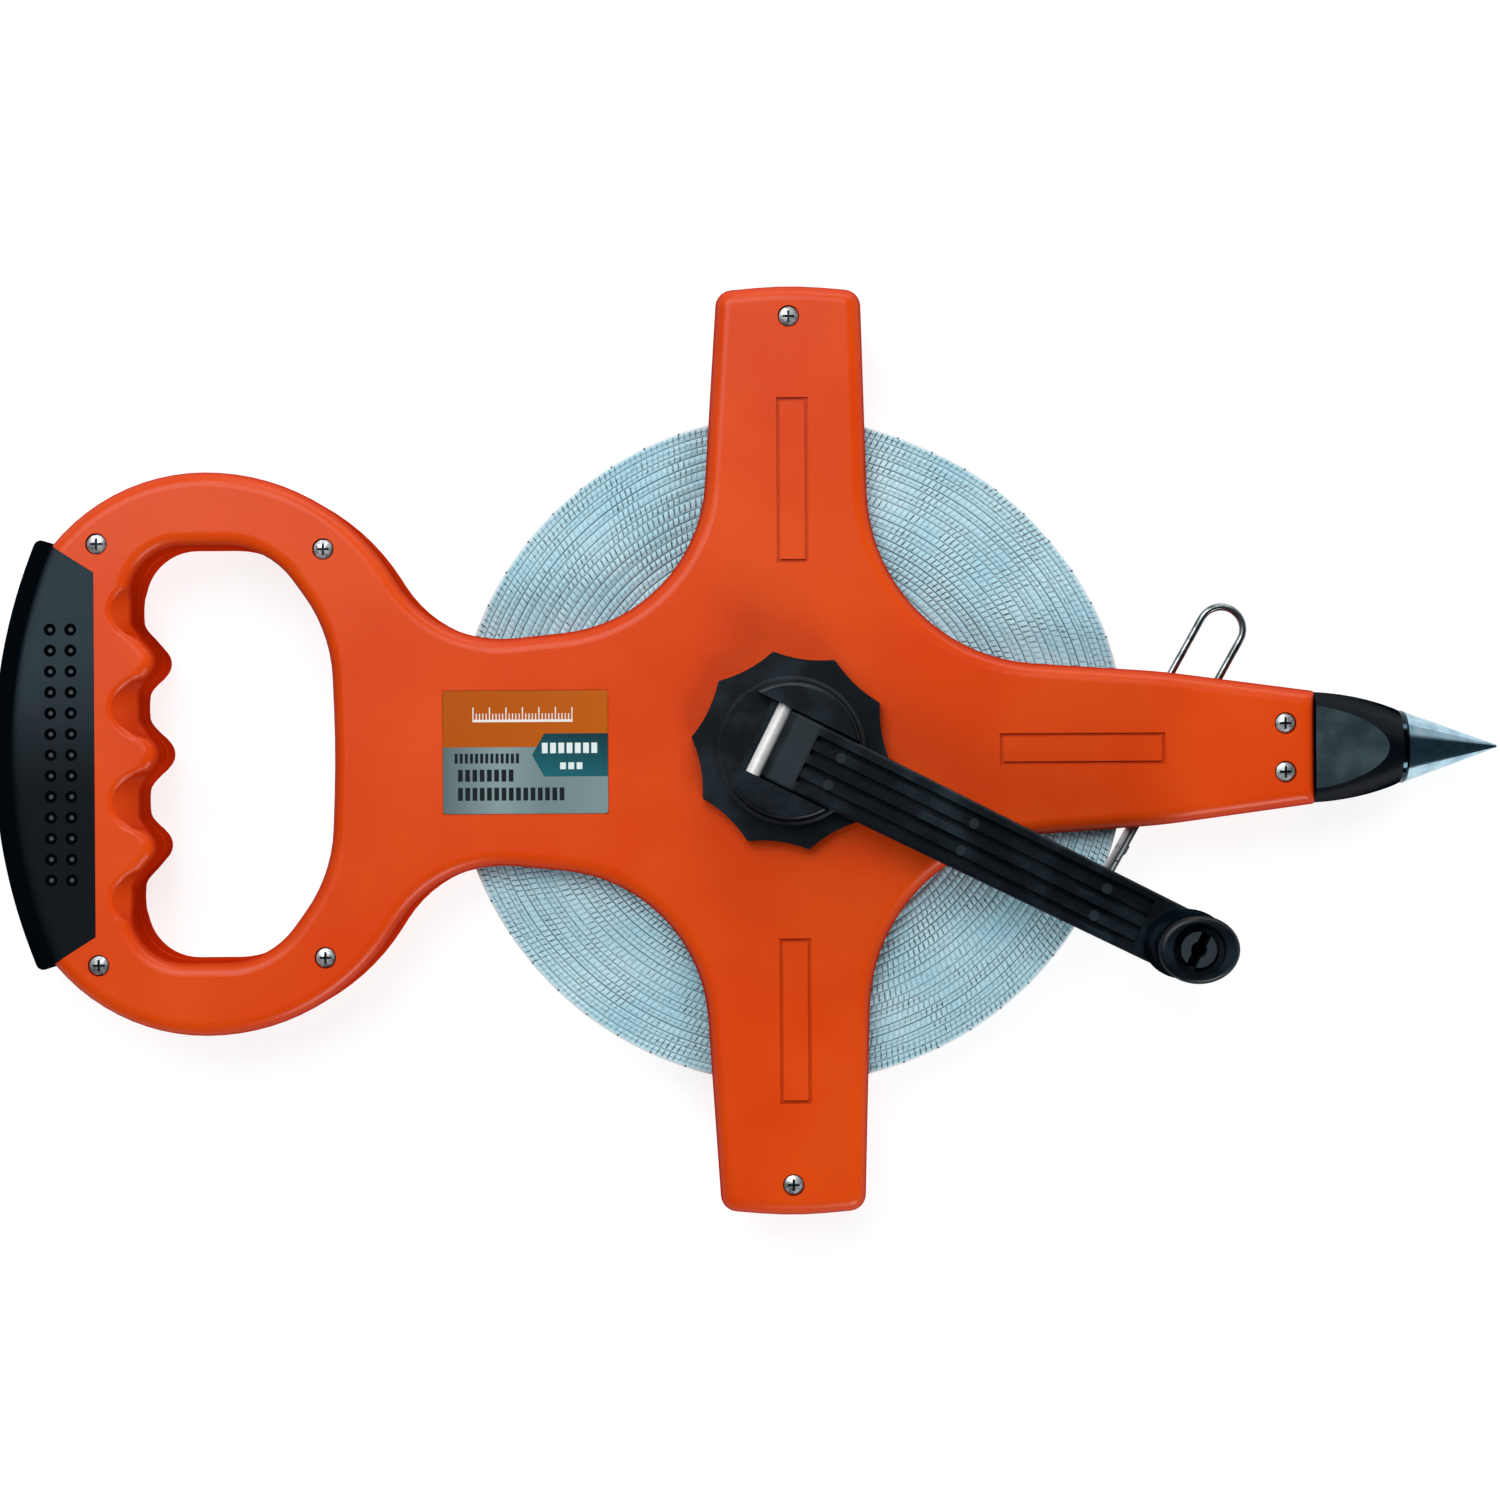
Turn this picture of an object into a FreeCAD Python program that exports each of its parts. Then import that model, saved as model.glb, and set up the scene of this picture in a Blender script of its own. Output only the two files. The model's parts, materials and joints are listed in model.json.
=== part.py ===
import FreeCAD, Part

import math
import os

# Open-frame surveyor's tape reel, lying on its back.
# Millimetres. Z is the drum's axis, with Z = 0 on the rear face that it rests on.
# +X points along the nose to the ground spike, -X to the hand grip, +Y along one side arm.

V = FreeCAD.Vector
X_AXIS = V(1, 0, 0)
Z_AXIS = V(0, 0, 1)

# --- tape and drum ---
tape_width = 12.5
tape_thickness = 0.5
coil_radius = 89.4              # 50 m of tape on the core
core_radius = 26.2
core_wall = 2.6
flange_radius = 40.0
flange_thickness = 1.0
coil_side_gap = 0.3             # coil to flange, each side
flange_gap = 0.6                # flange to bearing boss

# --- frame: two moulded shells ---
frame_depth = 30.0
wall = 2.5
edge_round = 4.0
hole_edge_round = 3.6
seam_chamfer = 0.35
rib_height = 2.4
rib_half = 0.9
rib_short = 6.0                 # ribs end this far inside the coil's edge
rib_neck_past = 10.0
frame_side_gap = 0.75           # tape edge to shell skirt
frame_ring_gap = 2.6            # coil to the arm tips
arm_overhang = 33.1             # arm tip past the coil
arm_root_half = 23.1
arm_tip_half = 19.0
arm_crown = 1.1
arm_crown_round = 100.0
arm_lean = 1.5                  # arm roots sit this far towards the handle
tip_round = 4.5
nose_overhang = 48.9            # nose end past the coil
nose_root_half = 25.6
nose_mid_half = 20.3
nose_tip_half = 14.9
nose_corner_round = 0.8
nose_mid_past = 8.6             # where the nose's sides bend, past the coil
nose_side_round = 150.0
nose_passage_past = 32.6        # end of the open slot for tape and hook, past the coil
web_round_nose = 47.0
web_round_neck = 42.0
neck_half = 28.1
neck_round = 32.6
neck_past = 3.5                 # where the neck is narrowest, past the coil
neck_rise = 6.9                 # the neck's extra width at the arms

# --- handle ring, measured from the middle of the hand hole ---
handle_overhang = 56.6          # middle of the hand hole past the coil
ring_half_height = 74.5
ring_right = 23.7
ring_left = -60.5
ring_right_round = 58.5
ring_left_round = 52.0
hole_corners = (                # hand hole, upper half: x, y, corner radius
    (-19.1, 0.0, 4.7),
    (-26.6, 8.7, 4.0),
    (-26.6, 16.8, 4.0),
    (-19.9, 24.5, 4.7),
    (-28.3, 34.3, 4.0),
    (-28.3, 55.0, 14.0),
    (8.0, 55.0, 22.0),
    (24.6, 32.0, 40.0),
    (25.8, 0.0, 300.0),
)
hole_wall = 7.0
finger_edge = -26.6             # hand hole's edge between the finger bumps
finger_places = (12.4, 38.0)
finger_radius = 8.3
finger_depth = 4.9
finger_edge_round = 2.0

# --- hand grip ---
grip_inner = -37.3              # straight edge, from the middle of the hand hole
grip_crest = -76.0              # where the outer sides would meet
grip_crest_round = 147.7
grip_corner = -53.8
grip_corner_round = 3.5
grip_end = -48.3
grip_half_straight = 48.0
grip_half_height = 55.0         # half height at grip_end
grip_web = 5.5
grip_flange = 3.5
grip_round = 9.5
grip_lap = 5.5                  # how far the flanges' mouth is set in from the ends
dimple_pitch = 5.5
dimple_rows = 13
dimple_sphere = 2.2
dimple_radius = 1.6
dimple_columns = (-48.9, -43.5)

# --- fasteners ---
screw_head_radius = 2.5
screw_head_height = 1.9
screw_head_dome = 2.4           # dome radius over head radius
screw_shank_radius = 1.45
screw_length = 22.0
screw_recess = 2.0
screw_pass = 0.2                # front shell's hole over the shank
screw_bite = 0.05               # rear shell's hole over the shank
screw_well = 0.35               # counterbore over the head
cross_size = 0.62               # cross recess, over the head's radius
cross_width = 0.4               # slot width over the recess's half length
cross_depth = 0.75
boss_radius = 4.5
handle_screw_far = (-36.6, 55.5)
handle_screw_near = (23.1, 53.8)
arm_screw_inset = 8.1           # from the arm tip
nose_screw_inset = 8.1          # from the nose end
nose_screw_half = 6.4

# --- bearings and crank hub ---
journal_radius = 10.0
bearing_clearance = 0.07
bearing_wall = 3.2
rear_recess = 3.0
hub_face_gap = 0.4
disc_thickness = 4.0
disc_radius = 26.4
scallops = 10
scallop_depth = 2.3
scallop_phase = 28.0
hub_seat_radius = 19.6          # low step that the channel's floor ends on
hub_seat_chamfer = 0.9
hub_boss_radius = 17.9
hub_boss_round = 1.0
hub_mark = (-16.0, 6.1, 2.7, 2.2)       # moulding ring: x, y, outer and inner radius
hub_mark_depth = 0.35
channel_width = 19.8
channel_floor = 6.0             # above the frame's front face
boss_height = 14.2              # above the frame's front face
disc_chamfer = 0.5
square_drive = 11.6
drive_clearance = 0.1
drum_web_half = 1.5
anchor_half_width = 2.5
anchor_inset = 0.5              # from the tape's edges
axle_screw_radius = 2.4
axle_head_radius = 5.0
axle_head_height = 1.4
washer_radius = 13.0
washer_thickness = 1.0
washer_bore_gap = 0.3
washer_gap = 0.2                # washer to rear shell

# --- folding crank ---
crank_angle = -26.5
pin_offset = 6.4                # hinge pin behind the drum axis
pin_radius = 2.0
pin_length = 25.0
pin_clearance = 0.06
crank_radius = 113.5            # drum axis to knob axis
arm_half_root = 9.5
arm_half_end = 8.5
arm_edge_round = 0.8
slab_thickness = 7.6
slab_gap = 0.4                  # arm to channel floor
knuckle_radius = 3.8
knuckle_mouth = 0.6             # above the pin's axis
rib_start = 4.4
rib_end_inset = 12.0            # ribs stop this far short of the knob axis
groove_depth = 3.2
strip_drop = 1.2
rim_width = 1.9
groove_width = 1.45
arm_mark_radius = 1.4
arm_mark_height = 0.35
arm_mark_start = 8.0            # first mark past the ribs' start
arm_mark_pitch = 38.4
arm_marks = 3

# --- knob ---
knob_radius = 9.2               # narrow way, at the arm
knob_waist = 8.5
knob_top_radius = 8.7
knob_oval = 1.2                 # long way over narrow way
knob_turn = 26.5                # long way from the arm's line
knob_height = 27.6
knob_gap = 0.4
knob_edge_round = 1.6
stud_radius = 4.5
stud_clearance = 0.05
stud_slot = 2.6
catch_radius = 5.3
catch_height = 2.4
catch_lead = 0.5
knob_recess_radius = 6.7
knob_recess_depth = 4.2

# --- tape end and wire hook ---
tail_angle = 60.5
tail_gap = 0.3                  # free end to the coil
tail_length = 27.0
clamp_start = 12.5
clamp_end = 28.2
clamp_plate = 0.6
clamp_lip = 0.3                 # clip past the tape's edges
rivet_radius = 1.4
rivet_shank = 0.84
rivet_head = 0.6
wire_radius = 1.0
hook_offset = 1.3               # shank line past the coil
hook_pivot = 30.2
hook_bend_at = 84.5
hook_bend_radius = 5.9
hook_free_end = 51.0
hook_corner = 2.2
knuckle_wall = 0.7
knuckle_length = 3.4
knuckle_rise = 0.6              # above the tape's lower edge
post_radius = 2.8
post_at = 62.0

# --- nose socket and spike ---
socket_length = 24.2
socket_inset = 0.3
socket_mid_place = 0.54         # middle of the side curves, over the length
socket_mid_half = 12.95
socket_corner_radius = 18.3
socket_mid_radius = 14.7
socket_face_end = 11.3          # half thickness of the flat faces at the spike
spike_radius = 9.75
spike_length = 26.5
spike_tip_radius = 0.4
shank_radius = 4.0
shank_length = 20.0
insert_radius = 6.4             # threaded bush moulded into the socket
insert_length = 14.0
insert_inset = 2.2              # bush behind the spike's shoulder
tongue_half = 12.3
tongue_length = 14.0
throat_half = 9.0
throat_clearance = 0.1
boss_clearance = 0.3

# --- label and moulded panels ---
label_length = 43.4
label_height = 32.4
label_thickness = 0.35
label_recess = 0.25
label_clearance = 0.15
label_corner = 0.8
label_x = -69.9
panel_start = 49.5
panel_length = 43.5
panel_width = 8.3
panel_groove = 0.9
panel_depth = 0.8
arm_panel_x = 0.8
nose_panel_start = 55.0

# --- worked out ---
mid = frame_depth / 2
tape_low = mid - tape_width / 2
tape_high = mid + tape_width / 2
gap_half = tape_width / 2 + frame_side_gap
clear_radius = coil_radius + frame_ring_gap
arm_tip = coil_radius + arm_overhang
nose_end = coil_radius + nose_overhang
passage_end = coil_radius + nose_passage_past
handle_x = -(coil_radius + handle_overhang)
flange_face = tape_width / 2 + coil_side_gap + flange_thickness     # from the mid plane
bearing_end = flange_face + flange_gap
bearing_radius = journal_radius + bearing_clearance
disc_base = frame_depth + hub_face_gap
channel_z = frame_depth + channel_floor
slab_z = channel_z + slab_gap
pin_z = slab_z + slab_thickness / 2
slab_top = slab_z + slab_thickness
knob_base = slab_top + knob_gap
knob_top = knob_base + knob_height
catch_base = knob_top - knob_recess_depth + knob_gap
socket_end = nose_end + socket_length
insert_span = (socket_end - insert_inset - insert_length, socket_end - insert_inset)
screw_places = {
    "handle": [(handle_x + x, side * y)
               for x, y in (handle_screw_far, handle_screw_near) for side in (1, -1)],
    "arm": [(0, side * (arm_tip - arm_screw_inset)) for side in (1, -1)],
    "nose": [(nose_end - nose_screw_inset, side * nose_screw_half) for side in (1, -1)],
}
all_screws = [place for group in screw_places.values() for place in group]


# ---------------------------------------------------------------- shape helpers

def cylinder(x, y, low, high, radius):
    return Part.makeCylinder(radius, high - low, V(x, y, low))


def block(x_range, y_range, z_range):
    low = V(x_range[0], y_range[0], z_range[0])
    return Part.makeBox(x_range[1] - x_range[0], y_range[1] - y_range[0], z_range[1] - z_range[0], low)


def prism(face, low, high):
    moved = face.copy()
    moved.translate(V(0, 0, low))
    return moved.extrude(V(0, 0, high - low))


def rounded_face(corners):
    """Flat face with straight sides and each corner (x, y, radius) rounded by a tangent arc."""
    arcs = []
    for i, (x, y, radius) in enumerate(corners):
        corner = V(x, y, 0)
        back = (V(*corners[i - 1][:2], 0) - corner).normalize()
        ahead = (V(*corners[(i + 1) % len(corners)][:2], 0) - corner).normalize()
        half = back.getAngle(ahead) / 2
        reach = radius / math.tan(half)
        inward = (back + ahead).normalize() * (radius / math.sin(half) - radius) if radius else V()
        arcs.append((corner + back * reach, corner + inward, corner + ahead * reach, radius))
    edges = []
    for i, (start, middle, end, radius) in enumerate(arcs):
        if radius:
            edges.append(Part.Arc(start, middle, end).toShape())
        following = arcs[(i + 1) % len(arcs)][0]
        if end.distanceToPoint(following) > 1e-6:
            edges.append(Part.LineSegment(end, following).toShape())
    return Part.Face(Part.Wire(edges))


def mirrored_outline(upper):
    """Close an upper half outline with its mirror image below the X axis."""
    lower = [(x, -y, radius) for x, y, radius in reversed(upper) if y]
    return upper + lower


def revolve_about_x(points, centre_z):
    """Solid turned about the X line at centre_z from (x, radius) points.

    A point with two more numbers is reached by an arc through them.
    """
    edges = []
    for start, end in zip(points, points[1:] + points[:1]):
        if len(end) == 4:
            through = Part.Arc(V(start[0], 0, start[1]), V(end[2], 0, end[3]), V(end[0], 0, end[1]))
            edges.append(through.toShape())
        else:
            edges.append(Part.makeLine(V(start[0], 0, start[1]), V(end[0], 0, end[1])))
    solid = Part.Face(Part.Wire(edges)).revolve(V(), X_AXIS, 360)
    solid.translate(V(0, 0, centre_z))
    return solid


def turned(points):
    """Solid turned about the Z axis from (radius, z) points."""
    corners = [V(radius, 0, z) for radius, z in points]
    return Part.Face(Part.makePolygon(corners + corners[:1])).revolve(V(), Z_AXIS, 360)


def flat_edges(shape, z, wanted=lambda x, y: True):
    """Edges that lie wholly at height z and whose middle passes the test."""
    found = []
    for edge in shape.Edges:
        box = edge.BoundBox
        if abs(box.ZMin - z) < 1e-4 and abs(box.ZMax - z) < 1e-4 and wanted(*edge.CenterOfMass[:2]):
            found.append(edge)
    return found


def one_solid(shape):
    """The single solid of a finished piece, cleaned of split faces."""
    solids = shape.removeSplitter().Solids
    assert len(solids) == 1 and solids[0].isValid(), f"{len(solids)} solids"
    return solids[0]


def save(name, solids):
    solids = solids if isinstance(solids, list) else [solids]
    for solid in solids:
        assert solid.isValid() and solid.isClosed(), name
    shape = solids[0] if len(solids) == 1 else Part.makeCompound(solids)
    shape.exportStep(f"parts/{name}.step")
    print(f"{name}: {len(solids)} solid(s), {shape.Volume / 1000:.2f} cm3")


# ---------------------------------------------------------------- outlines

def frame_face():
    """Plan of the frame: nose, two side arms, neck and handle ring."""
    return rounded_face(mirrored_outline([
        (nose_end, nose_tip_half, nose_corner_round),
        (coil_radius + nose_mid_past, nose_mid_half, nose_side_round),
        (arm_root_half - arm_lean, nose_root_half, web_round_nose),
        (arm_tip_half, arm_tip - arm_crown, tip_round),
        (0, arm_tip + arm_crown / 2, arm_crown_round),
        (-arm_tip_half, arm_tip - arm_crown, tip_round),
        (-arm_root_half - arm_lean, neck_half + neck_rise, web_round_neck),
        (-coil_radius - neck_past, neck_half, neck_round),
        (handle_x + ring_right, ring_half_height, ring_right_round),
        (handle_x + ring_left, ring_half_height, ring_left_round),
    ]))


def hand_hole_face():
    """The hand hole, with three finger bumps on its grip side."""
    return rounded_face(mirrored_outline([(handle_x + x, y, radius) for x, y, radius in hole_corners]))


def grip_slope():
    """Rise of the grip's slanted ends for each millimetre towards the outside."""
    return (grip_half_height - grip_half_straight) / (grip_inner - grip_end)


def grip_face(corner_round=0.0):
    """Plan of the grip: straight inside, slanted ends, bulging outside."""
    corner_height = grip_half_straight + grip_slope() * (grip_inner - grip_corner)
    return rounded_face(mirrored_outline([
        (handle_x + grip_crest, 0, grip_crest_round),
        (handle_x + grip_corner, corner_height, corner_round),
        (handle_x + grip_inner, grip_half_straight, 0),
    ]))


def grip_core(low, high, inset=0.0):
    """The tongue of the frame that the grip is stretched over."""
    body = prism(grip_face().makeOffset2D(-grip_web - inset), low, high)
    if inset:
        return body
    inner = handle_x + grip_inner
    neck_half_height = grip_half_straight - grip_lap
    return body.fuse(block((inner - 2 * grip_web, inner), (-neck_half_height, neck_half_height), (low, high)))


def grip_zone(low, high):
    """Everything outboard of the grip's inner edge and slanted ends."""
    inner = handle_x + grip_inner
    far = handle_x + grip_crest
    far_half = grip_half_straight + grip_slope() * (inner - far)
    corners = mirrored_outline([(far, far_half, 0), (inner, grip_half_straight, 0)])
    return prism(rounded_face(corners), low, high)


# ---------------------------------------------------------------- the two shells

def panel_groove_tool(x, y, length_x, length_y):
    """Thin rectangular groove moulded into the face."""
    outer = block((x - length_x / 2, x + length_x / 2), (y - length_y / 2, y + length_y / 2),
                  (frame_depth - panel_depth, frame_depth + 1))
    inner_x = length_x / 2 - panel_groove
    inner_y = length_y / 2 - panel_groove
    inner = block((x - inner_x, x + inner_x), (y - inner_y, y + inner_y), (frame_depth - 1, frame_depth + 2))
    return outer.cut(inner)


def finger_scoop(y):
    """Slanted round cutter that eases the hand hole's edge between two bumps."""
    edge_x = handle_x + finger_edge
    offset = (finger_radius - finger_depth) / math.sqrt(2)
    reach = 20.0
    along = V(-1, 0, 1).normalize()
    start = V(edge_x + offset, y, frame_depth + offset) - along * reach
    return Part.makeCylinder(finger_radius, 2 * reach, start, along)


def with_finger_scoops(body):
    """Scoops cut in the grip side of the hand hole, their edges blended into the face."""
    scoops = [finger_scoop(side * y) for y in finger_places for side in (1, -1)]
    body = body.cut(scoops).removeSplitter().Solids[0]
    rims = []
    for face in body.Faces:
        if isinstance(face.Surface, Part.Cylinder) and abs(face.Surface.Radius - finger_radius) < 1e-6:
            rims += [edge for edge in face.Edges if edge.BoundBox.ZMax > mid + finger_edge_round]
    return body.makeFillet(finger_edge_round, rims)


def shell_blank():
    """Front half of the frame before its own details; the rear half is its mirror image."""
    outline = frame_face()
    hole = hand_hole_face()
    body = prism(outline.cut(hole), mid, frame_depth)
    hole_box = hole.BoundBox

    def on_hole(x, y):
        return hole_box.XMin - 1 < x < hole_box.XMax + 1 and abs(y) < hole_box.YMax + 1

    body = body.makeFillet(hole_edge_round, flat_edges(body, frame_depth, on_hole))
    body = body.makeFillet(edge_round, flat_edges(body, frame_depth, lambda x, y: not on_hole(x, y)))
    body = body.makeChamfer(seam_chamfer, flat_edges(body, mid))
    body = with_finger_scoops(body)

    inside = outline.makeOffset2D(-wall).cut(hole.makeOffset2D(hole_wall))
    inner = handle_x + grip_inner
    bar = block((inner - 1, inner + wall), (-ring_half_height, ring_half_height), (mid, frame_depth))
    cavity = prism(inside, mid, frame_depth - wall).cut(grip_zone(mid, frame_depth).fuse(bar))
    pocket = grip_core(mid, frame_depth - grip_flange - wall, wall)
    body = body.cut(cavity).cut(pocket)

    posts = [cylinder(x, y, mid, frame_depth - wall, boss_radius) for x, y in all_screws]
    post_x, post_y = along_tail(post_at, coil_radius + hook_offset - hook_bend_radius)
    posts.append(cylinder(post_x, post_y, mid, frame_depth - wall, post_radius))
    posts.append(cylinder(0, 0, mid + bearing_end, frame_depth, bearing_radius + bearing_wall))
    body = body.fuse(posts + stiffening_ribs())

    outside = grip_zone(mid - 1, frame_depth + 1)
    kept = grip_core(mid - 1, frame_depth - grip_flange)
    tape_way = cylinder(0, 0, mid - 1, mid + gap_half, clear_radius)
    side = nose_root_half + 5
    hook_way = block((core_radius, passage_end), (-side, side), (mid - 1, mid + gap_half))
    hook_way = hook_way.cut(cylinder(post_x, post_y, mid - 2, frame_depth, post_radius))
    throat = throat_half + throat_clearance
    socket_way = block((nose_end - 2 * wall, nose_end + 1), (-throat, throat), (mid - 1, mid + throat))
    panel_middle = panel_start + panel_length / 2
    panels = [panel_groove_tool(arm_panel_x, side * panel_middle, panel_width, panel_length) for side in (1, -1)]
    panels.append(panel_groove_tool(nose_panel_start + panel_length / 2, 0, panel_length, panel_width))
    tools = [outside.cut(kept), tape_way, hook_way, socket_way] + panels
    return body.cut(tools)


def stiffening_ribs():
    """Low ribs inside the face, along the arms and round the drum."""
    heights = (frame_depth - wall - rib_height, frame_depth - wall / 2)
    across = (-rib_half, rib_half)
    start = bearing_radius + bearing_wall / 2
    end = coil_radius - rib_short
    return [
        block((start, end), across, heights),
        block((-coil_radius - rib_neck_past, -start), across, heights),
        block(across, (start, end), heights),
        block(across, (-end, -start), heights),
    ]


def front_shell():
    body = shell_blank()
    tools = [cylinder(0, 0, 0, frame_depth + 1, bearing_radius)]
    for x, y in all_screws:
        tools.append(cylinder(x, y, 0, frame_depth, screw_shank_radius + screw_pass))
        tools.append(cylinder(x, y, frame_depth - screw_recess, frame_depth + 1,
                              screw_head_radius + screw_well))
    length = label_length / 2 + label_clearance
    height = label_height / 2 + label_clearance
    tools.append(block((label_x - length, label_x + length), (-height, height),
                       (frame_depth - label_recess, frame_depth + 1)))
    return one_solid(body.cut(tools))


def rear_shell():
    body = shell_blank().mirror(V(0, 0, mid), Z_AXIS)
    boss_top = mid - bearing_end
    dish = cylinder(0, 0, 0, boss_top, washer_radius + 2 * wall)
    tools = [cylinder(0, 0, -1, frame_depth, bearing_radius),
             cylinder(0, 0, -1, rear_recess, washer_radius + wall / 2)]
    for x, y in all_screws:
        tools.append(cylinder(x, y, frame_depth - screw_recess - screw_length - 1, frame_depth,
                              screw_shank_radius + screw_bite))
    return one_solid(body.fuse(dish).cut(tools))


# ---------------------------------------------------------------- grip, nose and spike

def handle_grip():
    """Soft boot, round outside, with two columns of dimples front and back."""
    body = prism(grip_face(), 0, frame_depth)
    outside = handle_x + grip_corner
    for z in (0, frame_depth):
        body = body.makeFillet(grip_round, flat_edges(body, z, lambda x, y: x < outside))
    body = body.common(prism(grip_face(grip_corner_round), 0, frame_depth))
    body = body.cut(grip_core(grip_flange, frame_depth - grip_flange))
    rise = math.sqrt(dimple_sphere ** 2 - dimple_radius ** 2)
    dimples = []
    for column in dimple_columns:
        for row in range(dimple_rows):
            y = (row - (dimple_rows - 1) / 2) * dimple_pitch
            for z in (-rise, frame_depth + rise):
                dimples.append(Part.makeSphere(dimple_sphere, V(handle_x + column, y, z)))
    return one_solid(body.cut(dimples))


def nose_socket():
    """Black nose piece: four tapering faces turned down to a round end, held by a tongue."""
    along = (nose_end, socket_end)
    middle = nose_end + socket_mid_place * socket_length
    half = nose_tip_half - socket_inset
    root, crown, tip = (V(along[0], half, 0), V(middle, socket_mid_half, 0), V(along[1], spike_radius, 0))
    edges = [Part.makeLine(V(root.x, -root.y, 0), root), Part.makeLine(tip, V(tip.x, -tip.y, 0))]
    for side in (1, -1):
        edges.append(Part.Arc(*[V(point.x, side * point.y, 0) for point in (root, crown, tip)]).toShape())
    sides = Part.Face(Part.Wire(Part.__sortEdges__(edges)))
    thick = mid - socket_inset
    taper = [V(along[0], 0, mid - thick), V(along[0], 0, mid + thick),
             V(along[1], 0, mid + socket_face_end), V(along[1], 0, mid - socket_face_end)]
    wedge = Part.Face(Part.makePolygon(taper + taper[:1]))
    wedge.translate(V(0, -frame_depth, 0))
    wedge = wedge.extrude(V(0, 2 * frame_depth, 0))
    spun = revolve_about_x([(along[0], 0), (along[0], socket_corner_radius),
                            (along[1], spike_radius, middle, socket_mid_radius), (along[1], 0)], mid)
    body = prism(sides, 0, frame_depth).common(wedge).common(spun)
    throat = block((nose_end - 2 * wall, nose_end), (-throat_half, throat_half),
                   (mid - throat_half, mid + throat_half))
    tongue = block((nose_end - wall - tongue_length, nose_end - wall - throat_clearance),
                   (-tongue_half, tongue_half), (mid - throat_half, mid + throat_half))
    cavity = prism(frame_face().makeOffset2D(-wall - throat_clearance), 0, frame_depth)
    body = body.fuse([throat, tongue.common(cavity)])
    tools = [cylinder(x, y, 0, frame_depth, boss_radius + boss_clearance) for x, y in screw_places["nose"]]
    tools.append(bar_on_spike_axis(shank_radius, socket_end - shank_length, socket_end))
    tools.append(bar_on_spike_axis(insert_radius, *insert_span))
    return one_solid(body.cut(tools))


def bar_on_spike_axis(radius, start, end):
    return Part.makeCylinder(radius, end - start, V(start, 0, mid), X_AXIS)


def spike():
    """Plated point with a threaded shank that screws into the socket's bush."""
    return revolve_about_x([
        (socket_end - shank_length, 0), (socket_end - shank_length, shank_radius), (socket_end, shank_radius),
        (socket_end, spike_radius), (socket_end + 1.0, spike_radius),
        (socket_end + spike_length, spike_tip_radius), (socket_end + spike_length, 0),
    ], mid)


def spike_insert():
    """Threaded bush moulded into the socket."""
    return one_solid(bar_on_spike_axis(insert_radius, *insert_span).cut(
        bar_on_spike_axis(shank_radius, socket_end - shank_length, socket_end)))


# ---------------------------------------------------------------- fasteners

def cross_recess(x, y, top, size):
    """Two crossed slots, as in a cross-head screw; top is the outside of the head."""
    half = size * cross_width / 2
    heights = (top - size * cross_depth, top + 1)
    long_way = block((x - size, x + size), (y - half, y + half), heights)
    cross_way = block((x - half, x + half), (y - size, y + size), heights)
    return long_way.fuse(cross_way)


def pan_screw(x, y):
    base = frame_depth - screw_recess
    top = base + screw_head_height
    head = cylinder(x, y, base, top, screw_head_radius)
    dome_radius = screw_head_dome * screw_head_radius
    head = head.common(Part.makeSphere(dome_radius, V(x, y, top - dome_radius)))
    shank = cylinder(x, y, base - screw_length, base, screw_shank_radius)
    return one_solid(head.fuse(shank).cut(cross_recess(x, y, top, screw_head_radius * cross_size)))


def axle_screw():
    """Holds drum and crank hub together from behind."""
    low = rear_recess - washer_gap - washer_thickness
    head = cylinder(0, 0, low - axle_head_height, low, axle_head_radius)
    shank = cylinder(0, 0, low, mid + flange_face, axle_screw_radius)
    slots = cross_recess(0, 0, 0, axle_head_height)
    slots = slots.mirror(V(), Z_AXIS)
    slots.translate(V(0, 0, low - axle_head_height))
    return one_solid(head.fuse(shank).cut(slots))


def axle_washer():
    top = rear_recess - washer_gap
    ring = cylinder(0, 0, top - washer_thickness, top, washer_radius)
    return one_solid(ring.cut(cylinder(0, 0, 0, top + 1, axle_screw_radius + washer_bore_gap)))


# ---------------------------------------------------------------- drum

def drum_core():
    """Spool: thin core with a web, two narrow flanges and the rear journal."""
    side = tape_width / 2 + coil_side_gap
    body = cylinder(0, 0, mid - side, mid + side, core_radius)
    body = body.cut(cylinder(0, 0, 0, frame_depth, core_radius - core_wall))
    body = body.fuse([
        cylinder(0, 0, mid - flange_face, mid - side, flange_radius),
        cylinder(0, 0, mid + side, mid + flange_face, flange_radius),
        cylinder(0, 0, mid - flange_face, mid + flange_face, journal_radius + bearing_wall),
        cylinder(0, 0, mid - drum_web_half, mid + drum_web_half, core_radius - core_wall / 2),
        cylinder(0, 0, rear_recess - washer_gap, mid, journal_radius),
    ])
    windows = cylinder(0, 0, mid + side - 1, mid + flange_face + 1, core_radius - core_wall)
    windows = windows.fuse(cylinder(0, 0, mid - flange_face - 1, mid - side + 1, core_radius - core_wall))
    windows = windows.cut(cylinder(0, 0, 0, frame_depth, journal_radius + bearing_wall))
    drive = square_drive / 2 + drive_clearance
    tools = [windows,
             turn_crank(block((-drive, drive), (-drive, drive), (tape_low, frame_depth))),
             cylinder(0, 0, 0, frame_depth, axle_screw_radius + drive_clearance),
             anchor_block(drive_clearance)]
    return one_solid(body.cut(tools))


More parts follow.
